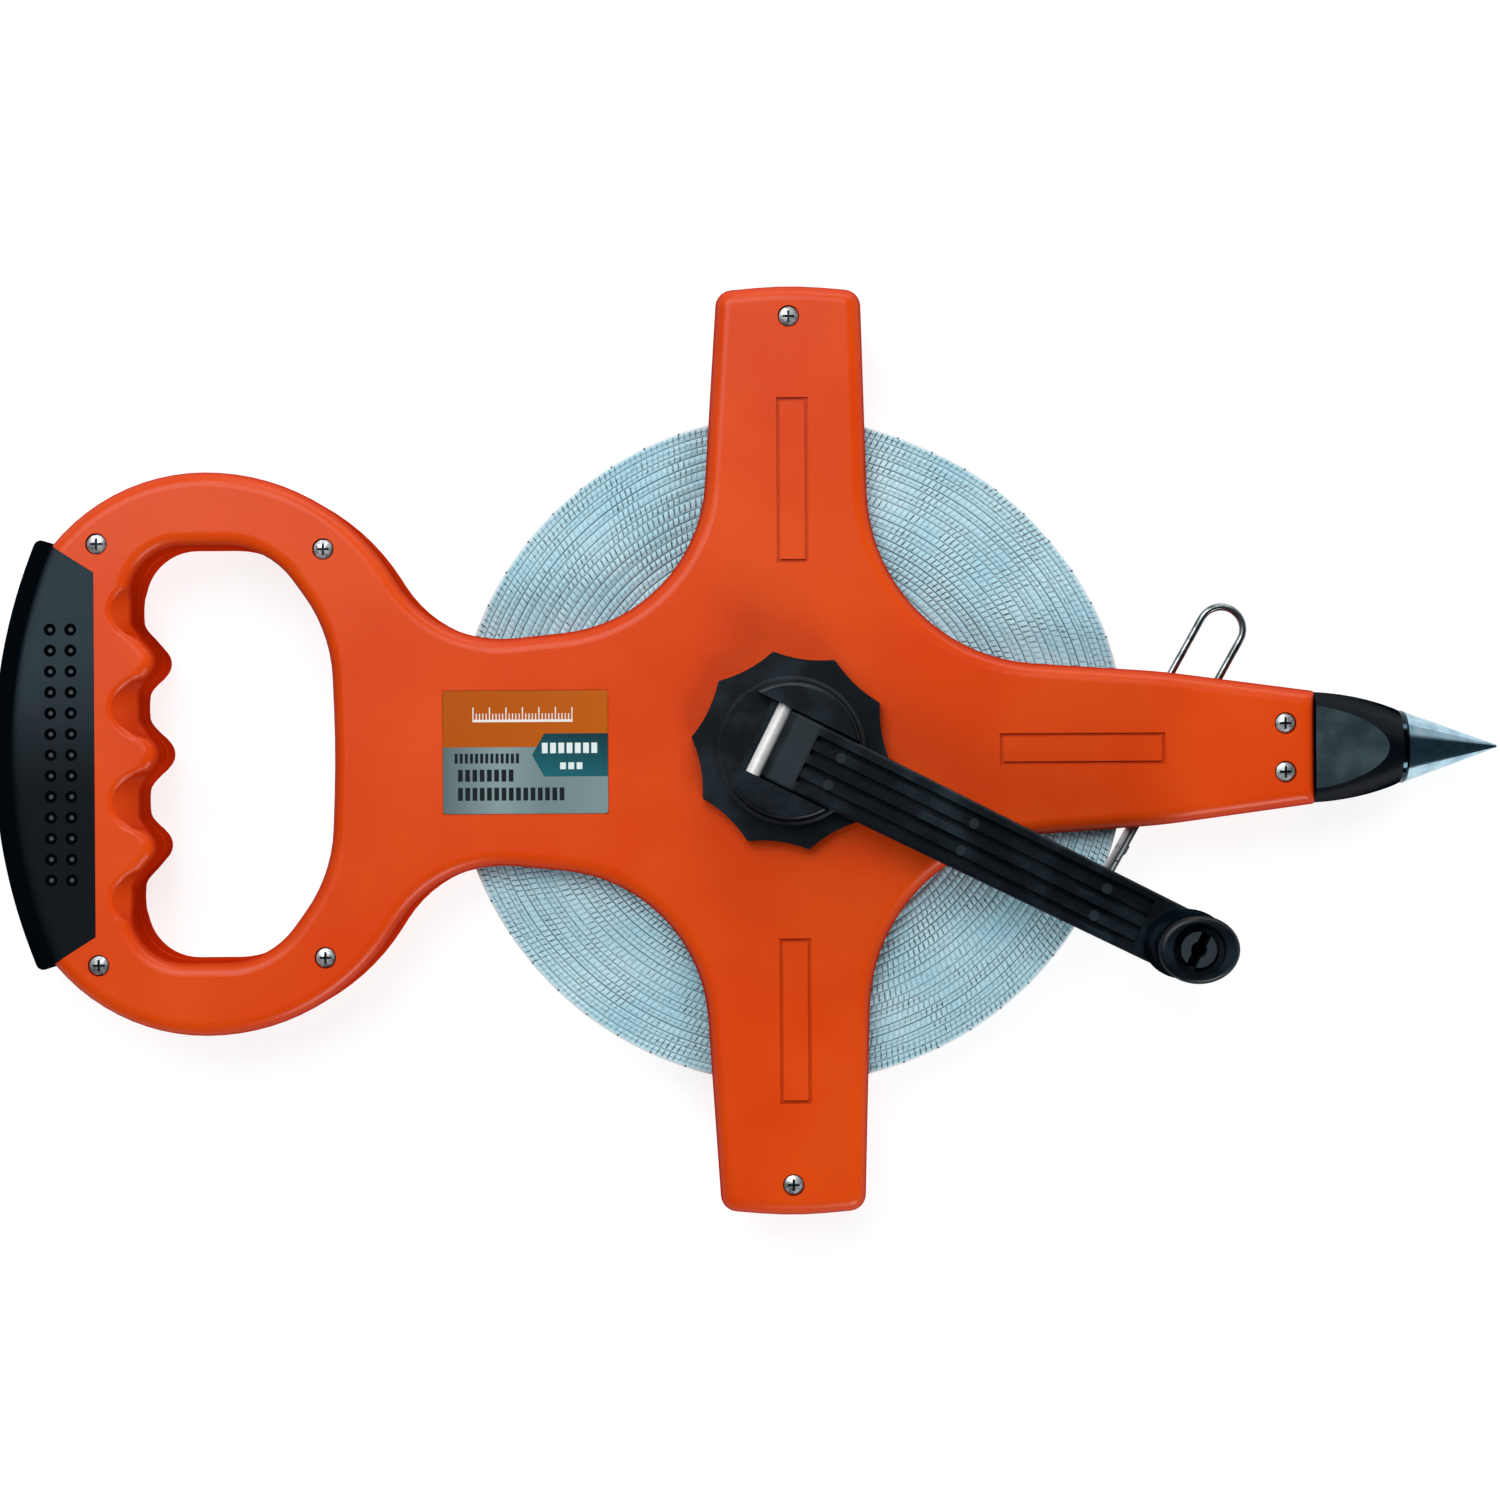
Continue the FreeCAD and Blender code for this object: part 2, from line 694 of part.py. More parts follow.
def anchor_block(clearance):
    """Wedge that traps the tape's inner end in a slot of the core."""
    half = anchor_half_width + clearance
    inset = anchor_inset - clearance
    wedge = block((core_radius - 0.7 * core_wall - clearance, core_radius + clearance), (-half, half),
                  (tape_low + inset, tape_high - inset))
    return wedge.common(cylinder(0, 0, 0, frame_depth, core_radius))


def tape_coil():
    ring = cylinder(0, 0, tape_low, tape_high, coil_radius)
    return one_solid(ring.cut(cylinder(0, 0, 0, frame_depth, core_radius)))


# ---------------------------------------------------------------- crank, drawn along +X and then turned

def turn_crank(shape):
    shape.rotate(V(), Z_AXIS, crank_angle)
    return shape


def crank_hub():
    """Scalloped disc with a slotted boss, a journal and a square drive."""
    disc_top = disc_base + disc_thickness
    body = cylinder(0, 0, disc_base, disc_top, disc_radius)
    body = body.makeChamfer(disc_chamfer, flat_edges(body, disc_top))
    half_step = math.pi / scallops
    half_chord = disc_radius * math.sin(half_step)
    dip = disc_radius * math.cos(half_step) - (disc_radius - scallop_depth)
    scallop_radius = (half_chord ** 2 + dip ** 2) / (2 * dip)
    centre = disc_radius - scallop_depth + scallop_radius
    scallop_tools = []
    for i in range(scallops):
        angle = math.radians(scallop_phase - crank_angle) + half_step * (2 * i + 1)
        scallop_tools.append(cylinder(centre * math.cos(angle), centre * math.sin(angle),
                                      disc_base - 1, disc_top + 1, scallop_radius))
    body = body.cut(scallop_tools)
    boss_top = frame_depth + boss_height
    boss = cylinder(0, 0, disc_base, boss_top, hub_boss_radius)
    boss = boss.makeFillet(hub_boss_round, flat_edges(boss, boss_top))
    channel = block((-disc_radius, disc_radius), (-channel_width / 2, channel_width / 2),
                    (channel_z, boss_top + 1))
    seat = cylinder(0, 0, disc_base, channel_z, hub_seat_radius)
    seat = seat.makeChamfer(hub_seat_chamfer, flat_edges(seat, channel_z))
    drive = square_drive / 2
    body = body.fuse([
        seat,
        boss.cut(channel),
        cylinder(0, 0, mid + flange_face, disc_base + 1, journal_radius),
        block((-drive, drive), (-drive, drive), (tape_low + 1, mid + flange_face + 1)).common(
            cylinder(0, 0, 0, frame_depth, journal_radius + bearing_wall)),
    ])
    mark_x, mark_y, mark_outer, mark_inner = hub_mark
    mark = cylinder(mark_x, mark_y, channel_z - hub_mark_depth, channel_z + 1, mark_outer)
    mark = mark.cut(cylinder(mark_x, mark_y, disc_base, channel_z + 1, mark_inner))
    tools = [cross_hole(pin_radius, pin_length), mark,
             cylinder(0, 0, 0, mid + flange_face + 0.5, axle_screw_radius)]
    return turn_crank(one_solid(body.cut(tools)))


def cross_hole(radius, length):
    """Round bar on the hinge axis, across the crank."""
    return Part.makeCylinder(radius, length, V(-pin_offset, -length / 2, pin_z), V(0, 1, 0))


def hinge_pin():
    return turn_crank(cross_hole(pin_radius, pin_length))


def arm_slab():
    """Plan of the crank arm: tapering bar, square at the hinge, round at the knob."""
    root = -pin_offset
    sides = math.atan2(arm_half_root - arm_half_end, crank_radius - root)
    tip_y = arm_half_end * math.cos(sides)
    tip_x = crank_radius + arm_half_end * math.sin(sides)
    return Part.Face(Part.Wire([
        Part.makeLine(V(root, arm_half_root, 0), V(root, -arm_half_root, 0)),
        Part.makeLine(V(root, -arm_half_root, 0), V(tip_x, -tip_y, 0)),
        Part.Arc(V(tip_x, -tip_y, 0), V(crank_radius + arm_half_end, 0, 0), V(tip_x, tip_y, 0)).toShape(),
        Part.makeLine(V(tip_x, tip_y, 0), V(root, arm_half_root, 0)),
    ]))


def crank_arm():
    """Ribbed arm with an open hinge hook at one end and a split snap stud at the other."""
    body = prism(arm_slab(), slab_z, slab_top)
    body = body.makeFillet(arm_edge_round, flat_edges(body, slab_top))
    body = body.fuse(cross_hole(knuckle_radius, 2 * arm_half_root))
    body = body.fuse(cylinder(crank_radius, 0, slab_z, catch_base + catch_height, stud_radius))
    catch = turned([(0, catch_base), (stud_radius, catch_base), (catch_radius, catch_base + catch_lead),
                    (stud_radius - catch_lead, catch_base + catch_height), (0, catch_base + catch_height)])
    catch.translate(V(crank_radius, 0, 0))
    body = body.fuse(catch)

    rib_stop = crank_radius - rib_end_inset
    centre_rib = 0.6 * rim_width
    strip_edge = arm_half_end - rim_width
    tools = []
    for side in (1, -1):
        inner_edge = side * centre_rib
        outer_edge = side * strip_edge
        tools.append(block((rib_start, rib_stop), sorted((inner_edge, outer_edge)),
                           (slab_top - strip_drop, slab_top + 1)))
        for low, high in ((inner_edge, inner_edge + side * groove_width),
                          (outer_edge - side * groove_width, outer_edge)):
            tools.append(block((rib_start, rib_stop), sorted((low, high)),
                               (slab_top - groove_depth, slab_top + 1)))
    reach = knuckle_radius + 1
    tools.append(cross_hole(pin_radius + pin_clearance, 4 * arm_half_root))
    open_to = pin_radius + pin_clearance
    tools.append(block((-pin_offset - reach, -pin_offset + open_to), (-2 * arm_half_root, 2 * arm_half_root),
                       (pin_z + knuckle_mouth, slab_top + 1)))
    catch_top = catch_base + catch_height + 1
    slot_low = knob_base + knob_height / 2
    tools.append(block((crank_radius - stud_slot / 2, crank_radius + stud_slot / 2),
                       (-2 * catch_radius, 2 * catch_radius), (slot_low, catch_top)))
    tools.append(cylinder(crank_radius, 0, slot_low, catch_top, stud_slot * 0.78))
    body = body.cut(tools)
    strip_top = slab_top - strip_drop
    marks = [cylinder(rib_start + arm_mark_start + arm_mark_pitch * i, side * (strip_edge + centre_rib) / 2,
                      strip_top - arm_mark_height, strip_top + arm_mark_height, arm_mark_radius)
             for i in range(arm_marks) for side in (1, -1)]
    return turn_crank(one_solid(body.fuse(marks)))


def crank_knob():
    """Oval finger knob, waisted a little, that spins on the arm's stud."""
    half = knob_base + knob_height / 2
    profile = Part.Wire([
        Part.makeLine(V(0, 0, knob_base), V(knob_radius, 0, knob_base)),
        Part.Arc(V(knob_radius, 0, knob_base), V(knob_waist, 0, half),
                 V(knob_top_radius, 0, knob_top)).toShape(),
        Part.makeLine(V(knob_top_radius, 0, knob_top), V(0, 0, knob_top)),
        Part.makeLine(V(0, 0, knob_top), V(0, 0, knob_base)),
    ])
    body = Part.Face(profile).revolve(V(), Z_AXIS, 360)
    body = body.makeFillet(knob_edge_round, flat_edges(body, knob_top))
    body = body.makeFillet(knob_edge_round / 2, flat_edges(body, knob_base))
    stretch = FreeCAD.Matrix()
    stretch.scale(V(knob_oval, 1, 1))
    body = body.transformGeometry(stretch)
    body.rotate(V(), Z_AXIS, knob_turn)
    body = body.cut([
        cylinder(0, 0, knob_base - 1, knob_top + 1, stud_radius + stud_clearance),
        cylinder(0, 0, knob_top - knob_recess_depth, knob_top + 1, knob_recess_radius),
    ])
    body.translate(V(crank_radius, 0, 0))
    return turn_crank(one_solid(body))


# ---------------------------------------------------------------- tape end and hook

def along_tail(distance, offset):
    """Plan point on the line that leaves the coil, offset from the drum axis."""
    angle = math.radians(tail_angle)
    return (offset * math.sin(angle) + distance * math.cos(angle),
            -offset * math.cos(angle) + distance * math.sin(angle))


def tail_block(start, end, inner, outer, low, high):
    """Box laid along the tape's free end."""
    places = ((start, inner), (end, inner), (end, outer), (start, outer))
    corners = [V(*along_tail(distance, offset), 0) for distance, offset in places]
    return prism(Part.Face(Part.makePolygon(corners + corners[:1])), low, high)


def tape_tail():
    inner = coil_radius + tail_gap
    return tail_block(0, tail_length, inner, inner + tape_thickness, tape_low, tape_high)


def rivet_bar(radius, z, inner, outer):
    start = V(*along_tail((clamp_start + clamp_end) / 2, inner), z)
    end = V(*along_tail((clamp_start + clamp_end) / 2, outer), z)
    return Part.makeCylinder(radius, outer - inner, start, end - start)


def tape_end_clamp():
    """Folded steel clip on the tape's end, with a knuckle for the hook."""
    inner = coil_radius + tail_gap
    outer = inner + tape_thickness
    body = tail_block(clamp_start, clamp_end, inner - clamp_plate, outer + clamp_plate,
                      tape_low - clamp_lip, tape_high + clamp_lip)
    body = body.cut(tail_block(clamp_start - 1, tail_length, inner, outer, 0, frame_depth))
    pivot = along_tail(hook_pivot, coil_radius + hook_offset)
    low = tape_low + knuckle_rise
    knuckle = cylinder(*pivot, low, low + knuckle_length, wire_radius + pin_clearance + knuckle_wall)
    link = tail_block(clamp_end - clamp_plate, hook_pivot, inner, outer + clamp_plate,
                      low, low + knuckle_length)
    body = body.fuse([knuckle, link])
    tools = [cylinder(*pivot, 0, frame_depth, wire_radius + pin_clearance)]
    tools += [rivet_bar(rivet_shank, z, inner - clamp_plate - 1, outer + clamp_plate + 1)
              for z in rivet_heights()]
    return one_solid(body.cut(tools))


def rivet_heights():
    return (mid - tape_width / 4, mid + tape_width / 4)


def clamp_rivets():
    inner = coil_radius + tail_gap + tape_thickness + clamp_plate
    rivets = []
    for z in rivet_heights():
        shank = rivet_bar(rivet_shank, z, inner - clamp_plate, inner)
        rivets.append(one_solid(shank.fuse(rivet_bar(rivet_radius, z, inner, inner + rivet_head))))
    return rivets


def wire_hook():
    """Bent wire: pivot bar, right angle, long shank, U-bend and a short free leg."""
    line = coil_radius + hook_offset
    inner_line = line - 2 * hook_bend_radius
    low = tape_low + knuckle_rise / 2
    pivot = V(*along_tail(hook_pivot, line), 0)
    turn_start = pivot + V(0, 0, mid - hook_corner)
    turn_centre = V(*along_tail(hook_pivot + hook_corner, line), mid - hook_corner)
    diagonal = (V(0, 0, 1) + (pivot - V(turn_centre.x, turn_centre.y, 0)).normalize()).normalize()
    turn_end = turn_centre + V(0, 0, hook_corner)
    bend_start = V(*along_tail(hook_bend_at, line), mid)
    bend_top = V(*along_tail(hook_bend_at + hook_bend_radius, line - hook_bend_radius), mid)
    bend_end = V(*along_tail(hook_bend_at, inner_line), mid)
    tip = V(*along_tail(hook_free_end, inner_line), mid)
    path = Part.Wire([
        Part.makeLine(pivot + V(0, 0, low), turn_start),
        Part.Arc(turn_start, turn_centre + diagonal * hook_corner, turn_end).toShape(),
        Part.makeLine(turn_end, bend_start),
        Part.Arc(bend_start, bend_top, bend_end).toShape(),
        Part.makeLine(bend_end, tip),
    ])
    section = Part.Wire(Part.makeCircle(wire_radius, pivot + V(0, 0, low), Z_AXIS))
    return path.makePipeShell([section], True, True)


# ---------------------------------------------------------------- label

def label_plate():
    base = frame_depth - label_recess
    half_x = label_length / 2
    half_y = label_height / 2
    corners = ((1, 1), (-1, 1), (-1, -1), (1, -1))
    face = rounded_face([(label_x + x * half_x, y * half_y, label_corner) for x, y in corners])
    return prism(face, base, base + label_thickness)


# ---------------------------------------------------------------- build

def main():
    os.makedirs("parts", exist_ok=True)
    save("front_shell", front_shell())
    save("rear_shell", rear_shell())
    save("handle_grip", handle_grip())
    save("nose_socket", nose_socket())
    save("spike", spike())
    save("spike_insert", spike_insert())
    for group, places in screw_places.items():
        save(f"{group}_screws", [pan_screw(x, y) for x, y in places])
    save("label_plate", label_plate())
    save("drum_core", drum_core())
    save("tape_coil", tape_coil())
    save("tape_anchor", anchor_block(0))
    save("axle_screw", axle_screw())
    save("axle_washer", axle_washer())
    save("crank_hub", crank_hub())
    save("hinge_pin", hinge_pin())
    save("crank_arm", crank_arm())
    save("crank_knob", crank_knob())
    save("tape_tail", tape_tail())
    save("tape_end_clamp", tape_end_clamp())
    save("clamp_rivets", clamp_rivets())
    save("wire_hook", wire_hook())


main()
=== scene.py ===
import json
import math

import bpy
import numpy as np
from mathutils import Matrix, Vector

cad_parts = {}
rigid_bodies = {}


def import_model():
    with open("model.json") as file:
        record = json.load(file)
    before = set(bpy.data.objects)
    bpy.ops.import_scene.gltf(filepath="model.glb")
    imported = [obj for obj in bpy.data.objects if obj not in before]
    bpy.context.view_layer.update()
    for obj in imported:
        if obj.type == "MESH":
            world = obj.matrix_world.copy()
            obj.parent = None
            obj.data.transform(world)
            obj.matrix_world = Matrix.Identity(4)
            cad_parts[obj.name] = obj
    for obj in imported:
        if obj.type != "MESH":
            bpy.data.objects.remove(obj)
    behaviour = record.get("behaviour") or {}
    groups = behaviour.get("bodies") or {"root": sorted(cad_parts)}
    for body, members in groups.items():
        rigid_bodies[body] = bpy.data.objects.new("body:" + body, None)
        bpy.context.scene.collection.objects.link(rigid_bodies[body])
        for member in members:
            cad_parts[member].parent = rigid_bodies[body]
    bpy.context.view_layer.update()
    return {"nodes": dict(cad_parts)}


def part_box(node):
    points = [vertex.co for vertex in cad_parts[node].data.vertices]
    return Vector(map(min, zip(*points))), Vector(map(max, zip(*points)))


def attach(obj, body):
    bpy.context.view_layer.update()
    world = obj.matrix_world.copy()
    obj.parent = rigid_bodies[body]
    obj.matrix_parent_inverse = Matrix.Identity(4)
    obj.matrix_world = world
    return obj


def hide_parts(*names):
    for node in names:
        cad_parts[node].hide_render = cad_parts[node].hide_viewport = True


for leftover in list(bpy.data.objects):
    bpy.data.objects.remove(leftover)

# An open-frame surveyor's tape reel lying on its back: an orange two-part frame with a hand grip and a
# ground spike, a wound tape on a drum, and a folding crank on the front. Metres; Z is the drum's axis.
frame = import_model()
MM = 0.001

# ---------------------------------------------------------------------------------------------------
# Floor, light and camera. The reel lies on a bright studio sheet under a large soft lamp over the grip's
# upper end, with one more on each side; the room is pale low down and dark overhead.


class Shade:
    """One shader socket. Arithmetic on it adds the Math nodes that work it out."""

    def __init__(self, tree, socket=None):
        self.tree = tree
        self.socket = socket

    def node(self, kind, settings, sockets, output=0):
        made = self.tree.nodes.new("ShaderNode" + kind)
        for setting, value in settings.items():
            if setting == "stops":
                ramp = made.color_ramp.elements
                while len(ramp) < len(value):
                    ramp.new(1.0)
                for stop, (place, colour) in zip(ramp, value):
                    stop.position = place
                    stop.color = colour
            else:
                setattr(made, setting, value)
        for place, value in sockets.items():
            if isinstance(value, Shade):
                self.tree.links.new(value.socket, made.inputs[place])
            else:
                made.inputs[place].default_value = value
        return Shade(self.tree, made.outputs[output]) if made.outputs else None

    def maths(self, operation, *others):
        return self.node("Math", {"operation": operation}, dict(enumerate((self, *others))))

    def __add__(self, other):
        return self.maths("ADD", other)

    def __sub__(self, other):
        return self.maths("SUBTRACT", other)

    def __rsub__(self, other):
        return self * -1.0 + other

    def __mul__(self, other):
        return self.maths("MULTIPLY", other)

    def __truediv__(self, other):
        return self.maths("DIVIDE", other)

    def __pow__(self, other):
        return self.maths("POWER", other)

    def __gt__(self, other):
        return self.maths("GREATER_THAN", other)

    def __lt__(self, other):
        return self.maths("LESS_THAN", other)

    __radd__ = __add__
    __rmul__ = __mul__

    def size(self):
        return self.maths("ABSOLUTE")

    def within(self, low, high):
        """1 between the limits and 0 outside."""
        return (self > low) * (self < high)

    def cycle(self):
        """The part after the decimal point."""
        return self.maths("FRACT")

    def step(self, low, high):
        """0 below low, 1 above high and smooth in between; low may be the larger."""
        return self.node("MapRange", {"interpolation_type": "SMOOTHSTEP"}, {0: self, 1: low, 2: high})

    def mix(self, first, second):
        """The first colour where this is 0 and the second where it is 1."""
        return self.node("Mix", {"data_type": "RGBA"}, {0: self, 6: first, 7: second}, 2)

    def along(self, axis):
        return self.node("SeparateXYZ", {}, {0: self}, axis)

    def stretched(self, x, y, z):
        return self.node("VectorMath", {"operation": "MULTIPLY"}, {0: self, 1: (x, y, z)})

    def noise(self, size, detail=2.0, roughness=0.5):
        """Cloudy pattern on these coordinates, with features about size metres across."""
        return self.node("TexNoise", {}, {"Vector": self, "Scale": 1 / size, "Detail": detail,
                                          "Roughness": roughness})

    def chance(self):
        """A random value from 0 to 1 for each different value of this."""
        return self.node("TexWhiteNoise", {"noise_dimensions": "1D"}, {"W": self})

    def bump(self, depth, strength=1.0):
        """Surface normals of a height field whose full range stands for depth metres."""
        return self.node("Bump", {}, {"Strength": strength, "Distance": depth, "Height": self})


def new_finish(name):
    """A material, and the Shade of its object coordinates, which are the reel's own."""
    material = bpy.data.materials.new(name)
    material.use_nodes = True
    material.node_tree.nodes.clear()
    return material, Shade(material.node_tree).node("TexCoord", {}, {}, "Object")


def surface(place, sockets, dry=None):
    """Closes a material with a principled shader, which has no gloss where dry is 1."""
    closed = place.node("BsdfPrincipled", {}, sockets)
    if dry:
        chalky = place.node("BsdfPrincipled", {}, {**sockets, "Specular IOR Level": 0.0})
        closed = place.node("MixShader", {}, {0: dry, 1: closed, 2: chalky})
    place.node("OutputMaterial", {}, {"Surface": closed})


def paint(red, green, blue):
    """Display colour, 0 to 255, as the shader's linear colour."""
    linear = [c / 255 / 12.92 if c <= 10 else ((c / 255 + 0.055) / 1.055) ** 2.4 for c in (red, green, blue)]
    return (*linear, 1.0)


def linked(name, data):
    """An object put in the scene."""
    made = bpy.data.objects.new(name, data)
    bpy.context.scene.collection.objects.link(made)
    return made


floor_finish, place = new_finish("studio_sheet")
surface(place, {"Base Color": paint(150, 151, 152), "Roughness": 0.9, "Specular IOR Level": 0.1,
                "Emission Color": (1.0, 1.0, 1.0, 1.0), "Emission Strength": 0.82})
floor_half = 6.0
floor_mesh = bpy.data.meshes.new("studio_floor")
floor_corners = [(x * floor_half, y * floor_half, -0.4 * MM) for x, y in ((-1, -1), (1, -1), (1, 1), (-1, 1))]
floor_mesh.from_pydata(floor_corners, [], [(0, 1, 2, 3)])
floor_mesh.materials.append(floor_finish)
linked("studio_floor", floor_mesh)

room = bpy.data.worlds.new("studio_room")
room.use_nodes = True
room.node_tree.nodes.clear()
sky = Shade(room.node_tree).node("TexCoord", {}, {}, "Generated")
height = sky.along("Z") - 0.35 * sky.along("Y")
brightness = height.step(0.1, 0.4).mix((0.62, 0.64, 0.66, 1), (0.02, 0.035, 0.045, 1))
sky.node("OutputWorld", {}, {"Surface": sky.node("Background", {}, {"Color": brightness, "Strength": 1.0})})
bpy.context.scene.world = room
bpy.context.scene.view_settings.view_transform = "Standard"


def soft_lamp(name, place, size, power):
    """Rectangular lamp aimed at the drum."""
    lamp = bpy.data.lights.new(name, "AREA")
    lamp.shape = "RECTANGLE"
    lamp.size, lamp.size_y = size
    lamp.energy = power
    made = linked(name, lamp)
    made.location = place
    made.rotation_euler = (-Vector(place)).to_track_quat("-Z", "Y").to_euler()


soft_lamp("key_lamp", (-0.4, 0.72, 1.4), (1.2, 1.0), 19.5)
soft_lamp("edge_lamp", (0.5, 1.8, 0.75), (1.4, 0.5), 11.0)
soft_lamp("fill_lamp", (0.8, -1.7, 1.0), (1.2, 0.6), 24.0)

lens = bpy.data.cameras.new("camera")
lens.sensor_width = 36.0
lens.lens = 79.34
lens.dof.use_dof = False
lens.clip_start, lens.clip_end = 0.01, 50.0
camera = linked("camera", lens)
camera.location = (-0.0108, 0.0002, 0.9)
camera.rotation_euler = (0, 0, math.radians(-0.36))
bpy.context.scene.camera = camera

# ---------------------------------------------------------------------------------------------------
# The two frame shells. Injection-moulded orange plastic with a fine satin grain, slightly cloudy from the
# mould and scuffed by use; they meet at a chamfered seam and are screwed together from the front.


def upright(place, low, high):
    """1 where the surface stands on end and 0 where it lies flat; between, by the normal's slope."""
    return place.node("NewGeometry", {}, {}, "Normal").along("Z").size().step(high, low)


def clothe(node, material):
    """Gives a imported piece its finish."""
    mesh = frame["nodes"][node].data
    mesh.materials.clear()
    mesh.materials.append(material)


shell_orange, place = new_finish("moulded_orange")
cloud = place.noise(0.035, 3.0)
grain = place.noise(0.0005, 2.0)
scuff = place.stretched(1.0, 6.0, 1.0).noise(0.006, 6.0, 0.7).step(0.66, 0.78)
# Painted shade on faces that stand on end and on the rounded edges, which also lose their gloss.
painted_shade_walls = upright(place, 0.2, 0.96)
body_colour = cloud.step(0.35, 0.7).mix(paint(217, 65, 4), paint(223, 74, 9))
body_colour = (scuff * 0.3).mix(body_colour, paint(228, 104, 58))
surface(place, {
    "Base Color": painted_shade_walls.mix(body_colour, paint(176, 38, 3)),
    "Roughness": 0.27 + 0.1 * cloud + 0.1 * scuff,
    "Normal": (grain + 0.4 * scuff).bump(0.00004, 0.5),
    "Specular IOR Level": 0.24,
}, painted_shade_walls)
clothe("front_shell", shell_orange)
clothe("rear_shell", shell_orange)

# ---------------------------------------------------------------------------------------------------
# The hand grip: a soft black-blue rubber boot stretched over the frame's outer bar, dusty on its flat
# faces, with two columns of dimples on each and a small raised nub in each dimple's middle. The flat faces
# carry a painted sheen growing towards +Y, the rounded edges painted shade, each dimple painted shade and
# each nub a painted highlight.
grip_rubber, place = new_finish("grip_rubber")
dust = place.noise(0.012, 5.0, 0.65)
pores = place.noise(0.0004, 2.0)
rounded = upright(place, 0.93, 0.995)
# Painted sheen on the flat faces, growing towards +Y and mottled by dust.
dust_and_sheen = place.along("Y").step(-12 * MM, 30 * MM) * (0.55 + 0.7 * dust)
# Painted shade on the rounded edges.
sheen_dust_and_edge_shade = rounded.mix(dust_and_sheen.mix(paint(5, 13, 19), paint(44, 58, 65)), paint(3, 9, 13))
dimple_pitch = 5.5
dimple_columns_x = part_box("handle_grip")[1].x / MM - 8.9
dimple_column_half = 2.7
dimple_rows_half = 36.0
dimple_radius = 1.5
row = place.along("Y") / MM / dimple_pitch
from_row = (row - row.maths("ROUND")) * dimple_pitch
from_column = (place.along("X") / MM - dimple_columns_x).size() - dimple_column_half
from_dimple = (from_row * from_row + from_column * from_column) ** 0.5
among_rows = place.along("Y").size() / MM < dimple_rows_half
# Painted shade in each dimple and a painted highlight on its nub.
dimple = from_dimple.step(dimple_radius + 0.15, dimple_radius - 0.15) * among_rows
nub = from_dimple.step(0.75, 0.4) * among_rows
surface(place, {
    "Base Color": nub.mix((dimple * 0.85).mix(sheen_dust_and_edge_shade, paint(3, 5, 7)), paint(72, 82, 84)),
    "Roughness": 0.4 + 0.16 * dust + 0.2 * (dimple - nub),
    "Normal": (pores * 0.1 + nub).bump(0.0003, 0.6),
    "Specular IOR Level": 0.1,
}, rounded)
clothe("handle_grip", grip_rubber)

# ---------------------------------------------------------------------------------------------------
# Screws: zinc-plated pan heads with cross recesses, down in the shells' counterbores. The recesses and
# what lies below the heads are darkened by painted shade. The axle screw and the clip's rivets have none.


def zinc(name, recess_height=None):
    """Dull bright plating, darker in patches and on slopes, with painted shade below recess_height if any."""
    material, place = new_finish(name)
    tarnish = place.noise(0.0012, 4.0, 0.6)
    plating = tarnish.step(0.4, 0.75).mix(paint(226, 228, 230), paint(176, 180, 184))
    # Patches at random and the steeper faces are darker.
    darker_patches_and_slopes = place.noise(0.0016, 3.0).step(0.4, 0.62) * 0.7
    darker_patches_and_slopes = (darker_patches_and_slopes + upright(place, 0.6, 0.95)).maths("MINIMUM", 1.0)
    colour = darker_patches_and_slopes.mix(plating, paint(84, 96, 98))
    if recess_height:
        # Painted shade in the cross recesses and below the heads.
        recess_shade = place.along("Z").step(recess_height + 0.1 * MM, recess_height - 0.1 * MM)
        colour = recess_shade.mix(colour, paint(24, 36, 40))
    surface(place, {
        "Base Color": colour,
        "Metallic": 0.7,
        "Roughness": 0.24 + 0.2 * tarnish,
        "Normal": tarnish.bump(0.00004, 0.5),
    })
    return material


screw_zinc = zinc("screw_zinc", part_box("handle_screws")[1].z - 0.6 * MM)
for node in ("handle_screws", "arm_screws", "nose_screws"):
    clothe(node, screw_zinc)
bare_zinc = zinc("bare_zinc")
clothe("axle_screw", bare_zinc)
clothe("clamp_rivets", bare_zinc)

# ---------------------------------------------------------------------------------------------------
# The label: a thin printed film in its shallow seat, with an amber band above, a brushed silver one below
# and a teal flag at the right. Its print is a plain scale and rows of blocks.
label_low, label_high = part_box("label_plate")
label_film, place = new_finish("label_film")
across = (place.along("X") - label_low.x) / (label_high.x - label_low.x)
up = (place.along("Y") - label_low.y) / (label_high.y - label_low.y)
brushed = place.stretched(1.0, 60.0, 1.0).noise(0.004, 3.0)


def blocks(left, right, low, high, pitch, share):
    """A row of printed blocks; places are parts of the label's width and height."""
    return (((across - left) / pitch).cycle() < share) * across.within(left, right) * up.within(low, high)


silver = across.node("ValToRGB", {"stops": [
    (0.0, paint(90, 110, 112)), (0.34, paint(142, 163, 164)), (0.62, paint(118, 140, 141)),
    (1.0, paint(132, 154, 156))]}, {"Fac": across})
amber = across.mix(paint(178, 82, 4), paint(188, 92, 12))
amber_foot = 0.541
film = (up > amber_foot).mix((brushed * 0.4).mix(silver, paint(84, 102, 104)), amber)
scale = blocks(0.18, 0.787, 0.745, 0.765, 1.0, 1.0) + blocks(0.18, 0.787, 0.765, 0.815, 0.02, 0.32)
scale = scale + blocks(0.18, 0.787, 0.815, 0.865, 0.1, 0.07)
print_dark = blocks(0.07, 0.473, 0.41, 0.49, 0.031, 0.62) + blocks(0.09, 0.442, 0.262, 0.36, 0.044, 0.66)
print_dark = print_dark + blocks(0.09, 0.75, 0.107, 0.213, 0.044, 0.66)
